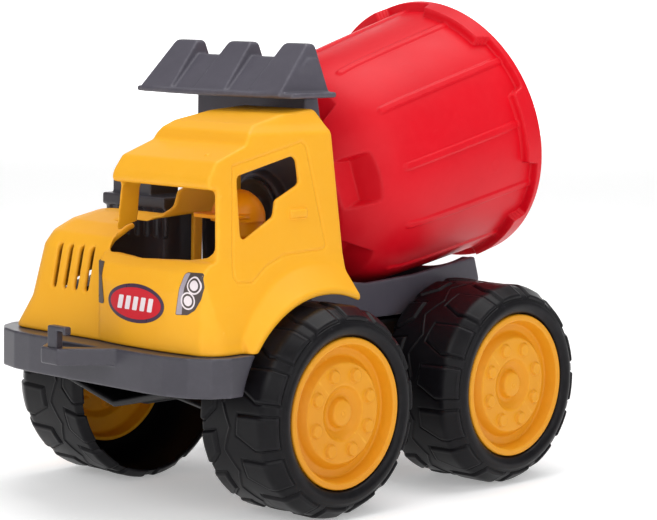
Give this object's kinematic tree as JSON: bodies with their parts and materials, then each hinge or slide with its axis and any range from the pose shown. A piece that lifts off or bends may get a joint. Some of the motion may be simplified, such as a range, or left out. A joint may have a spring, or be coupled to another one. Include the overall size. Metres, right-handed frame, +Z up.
{
  "type": "toy cement mixer",
  "caption": "Push-along toy cement mixer: stepped cab beside a short bonnet, wide hollow wheels and a tilted open drum that turns on its journal.",
  "frame": {"origin": "on the ground, in the middle of the truck's length and width", "axes": "+Z up, -Y towards the front of the truck, +X towards its left side (the cab's side)"},
  "size_m": [0.1754, 0.271, 0.2295],
  "materials": {
    "shell_yellow": "smooth moulded, slight satin sheen",
    "driver_amber": "smooth moulded",
    "drum_red": "blow-moulded, soft satin gloss",
    "trim_grey": "fine matt texture",
    "chassis_black": "smooth satin",
    "tyre_black": "satin, hollow blow-moulded tyre",
    "steel_plain": "plain drawn",
    "sticker_badge": "printed film, dark border",
    "sticker_lamp": "printed film"
  },
  "bodies": {
    "body": {"chassis": "chassis_black", "bumper": "trim_grey", "tow_hook": "trim_grey", "drum_frame": "trim_grey", "roof_visor": "trim_grey", "exhaust_stack": "trim_grey", "cab_shell": "shell_yellow", "driver_seat": "chassis_black", "driver_body": "driver_amber", "driver_head": "driver_amber", "driver_helmet": "driver_amber", "badge_sticker": "sticker_badge", "headlight_sticker_left": "sticker_lamp", "headlight_sticker_right": "sticker_lamp", "bumper_screws": "steel_plain", "cab_screws": "steel_plain", "frame_screws": "steel_plain", "visor_screws": "steel_plain"},
    "front_wheels": {"axle_front": "steel_plain", "tyre_front_left": "tyre_black", "tyre_front_right": "tyre_black", "rim_front_left": "shell_yellow", "rim_front_right": "shell_yellow"},
    "rear_wheels": {"axle_rear": "steel_plain", "tyre_rear_left": "tyre_black", "tyre_rear_right": "tyre_black", "rim_rear_left": "shell_yellow", "rim_rear_right": "shell_yellow"},
    "drum": {"drum_shell": "drum_red", "drum_retainer": "trim_grey", "drum_screw": "steel_plain"}
  },
  "joints": [
    {"name": "front_axle_spin", "type": "hinge", "parent": "body", "child": "front_wheels", "pos_m": [0, -0.03749, 0.0478], "axis": [1, 0, 0], "continuous": true},
    {"name": "rear_axle_spin", "type": "hinge", "parent": "body", "child": "rear_wheels", "pos_m": [0, 0.08071, 0.0478], "axis": [1, 0, 0], "continuous": true},
    {"name": "drum_spin", "type": "hinge", "parent": "body", "child": "drum", "pos_m": [0, 0.00527, 0.13745], "axis": [0, 0.9724, 0.2334], "continuous": true}
  ]
}
